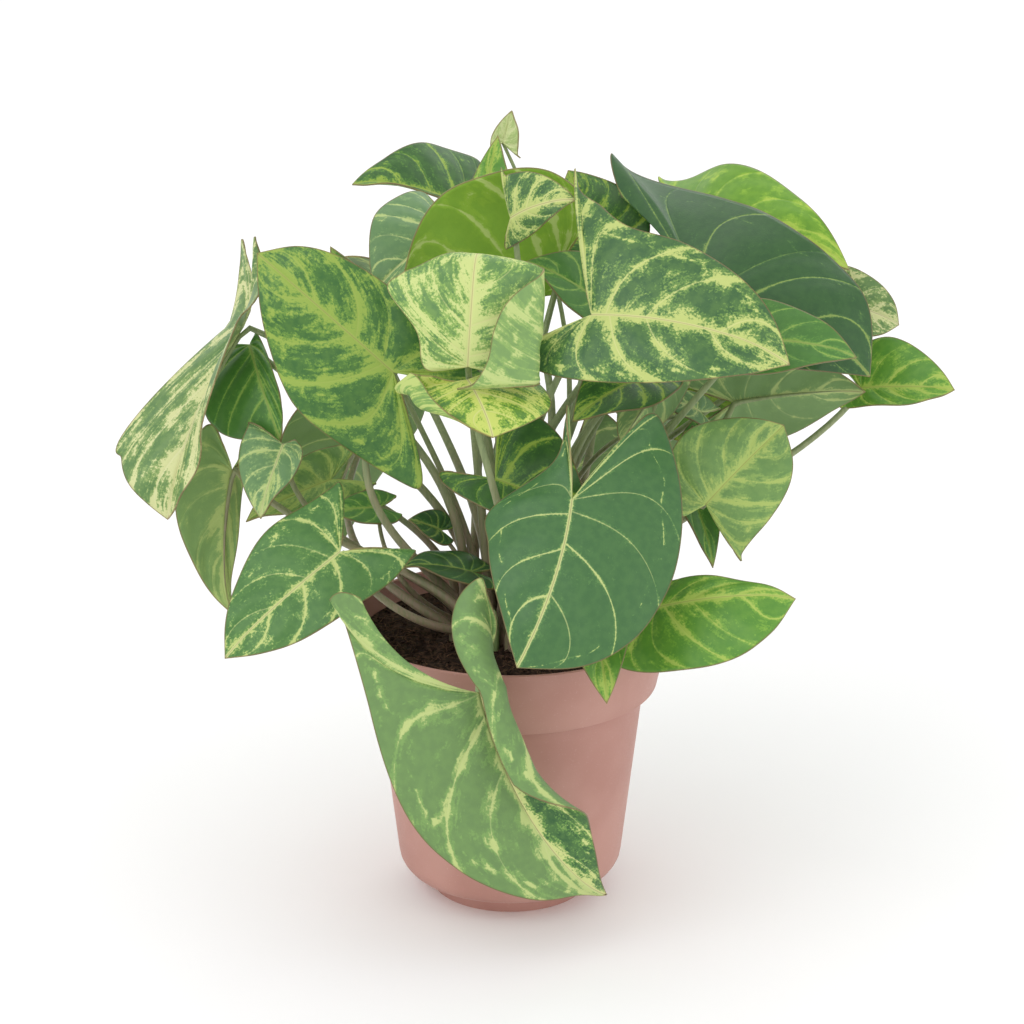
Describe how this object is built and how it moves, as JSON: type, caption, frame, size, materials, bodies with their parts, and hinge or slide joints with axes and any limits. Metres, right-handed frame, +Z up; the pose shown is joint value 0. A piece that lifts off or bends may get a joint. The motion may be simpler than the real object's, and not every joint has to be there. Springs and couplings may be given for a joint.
{
  "type": "potted arrowhead vine",
  "caption": "Potted arrowhead vine: marbled green leaves on slender stalks that rise from potting soil in a round plastic nursery pot.",
  "frame": {"origin": "centre of the underside of the pot's foot, on the surface that the pot stands on", "axes": "+Z up along the pot's axis, -Y towards the viewer of the picture, +X to that viewer's right"},
  "size_m": [0.3089, 0.2367, 0.2753],
  "materials": {
    "pot_plastic": "satin",
    "soil_peat": "matte",
    "leaf_marbled": "satin",
    "leaf_dark": "satin",
    "leaf_green": "satin",
    "leaf_yellow_green": "satin",
    "leaf_pale": "satin"
  },
  "bodies": {
    "root": {"back_crown": "leaf_yellow_green", "back_drape": "leaf_green", "back_left_high": "leaf_marbled", "back_left_low": "leaf_green", "back_low": "leaf_green", "back_right_high": "leaf_green", "back_right_low": "leaf_dark", "back_top": "leaf_green", "centre_back": "leaf_green", "centre_dark": "leaf_dark", "centre_fold": "leaf_pale", "centre_low": "leaf_green", "centre_veined": "leaf_dark", "crown_apron": "leaf_yellow_green", "crown_roll": "leaf_marbled", "front_centre": "leaf_dark", "front_drape": "leaf_marbled", "front_tongue": "leaf_yellow_green", "left_blade": "leaf_marbled", "left_crinkle": "leaf_dark", "left_great": "leaf_yellow_green", "left_inner": "leaf_green", "left_low": "leaf_green", "left_pale": "leaf_pale", "left_shade": "leaf_green", "left_tip": "leaf_pale", "left_tuck": "leaf_pale", "pot": "pot_plastic", "right_back_glow": "leaf_yellow_green", "right_crest": "leaf_marbled", "right_curl": "leaf_dark", "right_far": "leaf_yellow_green", "right_frost": "leaf_marbled", "right_glow": "leaf_yellow_green", "right_great": "leaf_dark", "right_low": "leaf_green", "right_pale": "leaf_pale", "right_shade": "leaf_green", "right_sliver": "leaf_green", "right_small": "leaf_green", "right_under": "leaf_pale", "soil": "soil_peat", "soil_side": "leaf_green", "top_back_glow": "leaf_yellow_green", "top_back_green": "leaf_green", "top_bud": "leaf_pale", "top_left_dark": "leaf_green", "top_left_grey": "leaf_pale", "top_marbled": "leaf_marbled", "top_wedge": "leaf_yellow_green"}
  },
  "joints": []
}
